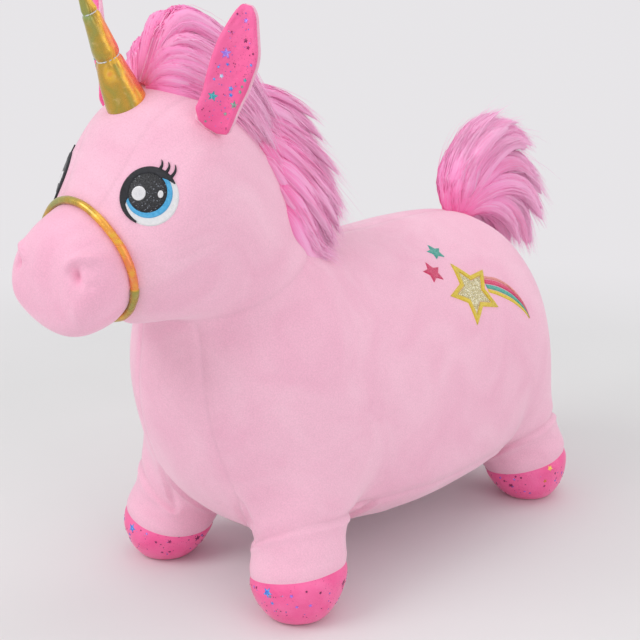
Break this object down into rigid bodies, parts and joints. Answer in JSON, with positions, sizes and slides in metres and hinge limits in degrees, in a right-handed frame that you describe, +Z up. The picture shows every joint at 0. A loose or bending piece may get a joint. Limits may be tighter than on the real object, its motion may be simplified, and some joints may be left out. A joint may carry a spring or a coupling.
{
  "type": "hopping ride-on animal",
  "caption": "Inflatable hopping animal in a sewn plush cover: long-maned, horned, on round padded hooves, with sprung ears and tail, a bouncing body and a belly zip over its valve.",
  "frame": {"origin": "on the floor under the middle of the whole toy's box, muzzle tip to tail", "axes": "-Y is the way the animal faces, +X its left flank, +Z up"},
  "size_m": [0.2418, 0.623, 0.5122],
  "materials": {
    "plush": "short-pile velour",
    "muzzle_plush": "short-pile velour",
    "foil_pink": "smooth fabric with small foil stars",
    "gold_foil": "glossy iridescent coated cloth",
    "vinyl": "smooth soft vinyl",
    "fur": "long-pile artificial fur",
    "foam": "soft sheet foam",
    "stuffing": "polyester wadding",
    "thread": "sewing thread",
    "zip_tape": "woven tape",
    "zip_plastic": "moulded coil",
    "zip_metal": "plated",
    "white_thread": "satin-stitch embroidery",
    "blue_thread": "satin-stitch embroidery",
    "black_glitter": "glitter fabric",
    "gold_glitter": "glitter fabric",
    "yellow_thread": "satin-stitch embroidery",
    "teal_thread": "satin-stitch embroidery",
    "magenta_thread": "satin-stitch embroidery"
  },
  "bodies": {
    "feet": {"hoof_cover_front_left": "foil_pink", "hoof_cover_front_right": "foil_pink", "hoof_cover_hind_left": "foil_pink", "hoof_cover_hind_right": "foil_pink"},
    "ear_left": {"ear_left_back": "plush", "ear_left_foam": "foam", "ear_left_lining": "foil_pink"},
    "ear_right": {"ear_right_back": "plush", "ear_right_foam": "foam", "ear_right_lining": "foil_pink"},
    "tail": {"tail_fur": "fur"},
    "zip_slider": {"zip_slider": "zip_metal"},
    "zip_pull": {"zip_pull": "zip_metal"},
    "toy": {"belly_panel_left": "plush", "belly_panel_right": "plush", "bladder": "vinyl", "chest_gusset": "plush", "eye_left_glint": "white_thread", "eye_left_iris": "blue_thread", "eye_left_lid": "black_glitter", "eye_left_pupil": "black_glitter", "eye_left_white": "white_thread", "eye_right_glint": "white_thread", "eye_right_iris": "blue_thread", "eye_right_lid": "black_glitter", "eye_right_pupil": "black_glitter", "eye_right_white": "white_thread", "forehead_gusset": "plush", "forelock_fur": "fur", "head_side_left": "plush", "head_side_right": "plush", "horn_cover": "gold_foil", "horn_stuffing": "stuffing", "horn_thread_1": "thread", "horn_thread_2": "thread", "horn_thread_3": "thread", "leg_sleeve_front_left": "plush", "leg_sleeve_front_right": "plush", "leg_sleeve_hind_left": "plush", "leg_sleeve_hind_right": "plush", "magenta_star_left": "magenta_thread", "magenta_star_right": "magenta_thread", "mane_fur": "fur", "muzzle_cover": "muzzle_plush", "noseband": "gold_foil", "star_border_left": "yellow_thread", "star_border_right": "yellow_thread", "star_glitter_left": "gold_glitter", "star_glitter_right": "gold_glitter", "star_trail_left": "magenta_thread", "star_trail_right": "magenta_thread", "teal_star_left": "teal_thread", "teal_star_right": "teal_thread", "trunk_side_left": "plush", "trunk_side_right": "plush", "valve_plug": "vinyl", "zip_chain": "zip_plastic", "zip_tape_left": "zip_tape", "zip_tape_right": "zip_tape"}
  },
  "joints": [
    {"name": "bounce", "type": "slide", "parent": "feet", "child": "toy", "axis": [0, 0, 1], "range_m": [-0.014, 0], "stiffness_N_per_m": 15000, "springref_m": 0.002, "deforming": ["bladder", "leg_sleeve_front_left", "leg_sleeve_front_right", "leg_sleeve_hind_left", "leg_sleeve_hind_right"]},
    {"name": "ear_left_bend", "type": "hinge", "parent": "toy", "child": "ear_left", "pos_m": [0.0628, -0.1983, 0.3896], "axis": [0.5176, 0.3838, -0.7647], "range_deg": [-20, 20], "stiffness_Nm_per_rad": 0.06},
    {"name": "ear_right_bend", "type": "hinge", "parent": "toy", "child": "ear_right", "pos_m": [-0.0628, -0.1983, 0.3896], "axis": [0.5176, -0.3838, 0.7647], "range_deg": [-20, 20], "stiffness_Nm_per_rad": 0.06},
    {"name": "tail_bend", "type": "hinge", "parent": "toy", "child": "tail", "pos_m": [0, 0.1591, 0.2772], "axis": [1, 0, 0], "range_deg": [-16, 30], "stiffness_Nm_per_rad": 2, "springref_deg": 2.12},
    {"name": "zip_slide", "type": "slide", "parent": "toy", "child": "zip_slider", "axis": [0, 1, 0], "range_m": [0, 0.098]},
    {"name": "zip_pull_swing", "type": "hinge", "parent": "zip_slider", "child": "zip_pull", "pos_m": [0, -0.0179, 0.0232], "axis": [1, 0, 0], "range_deg": [-80, 80]}
  ]
}
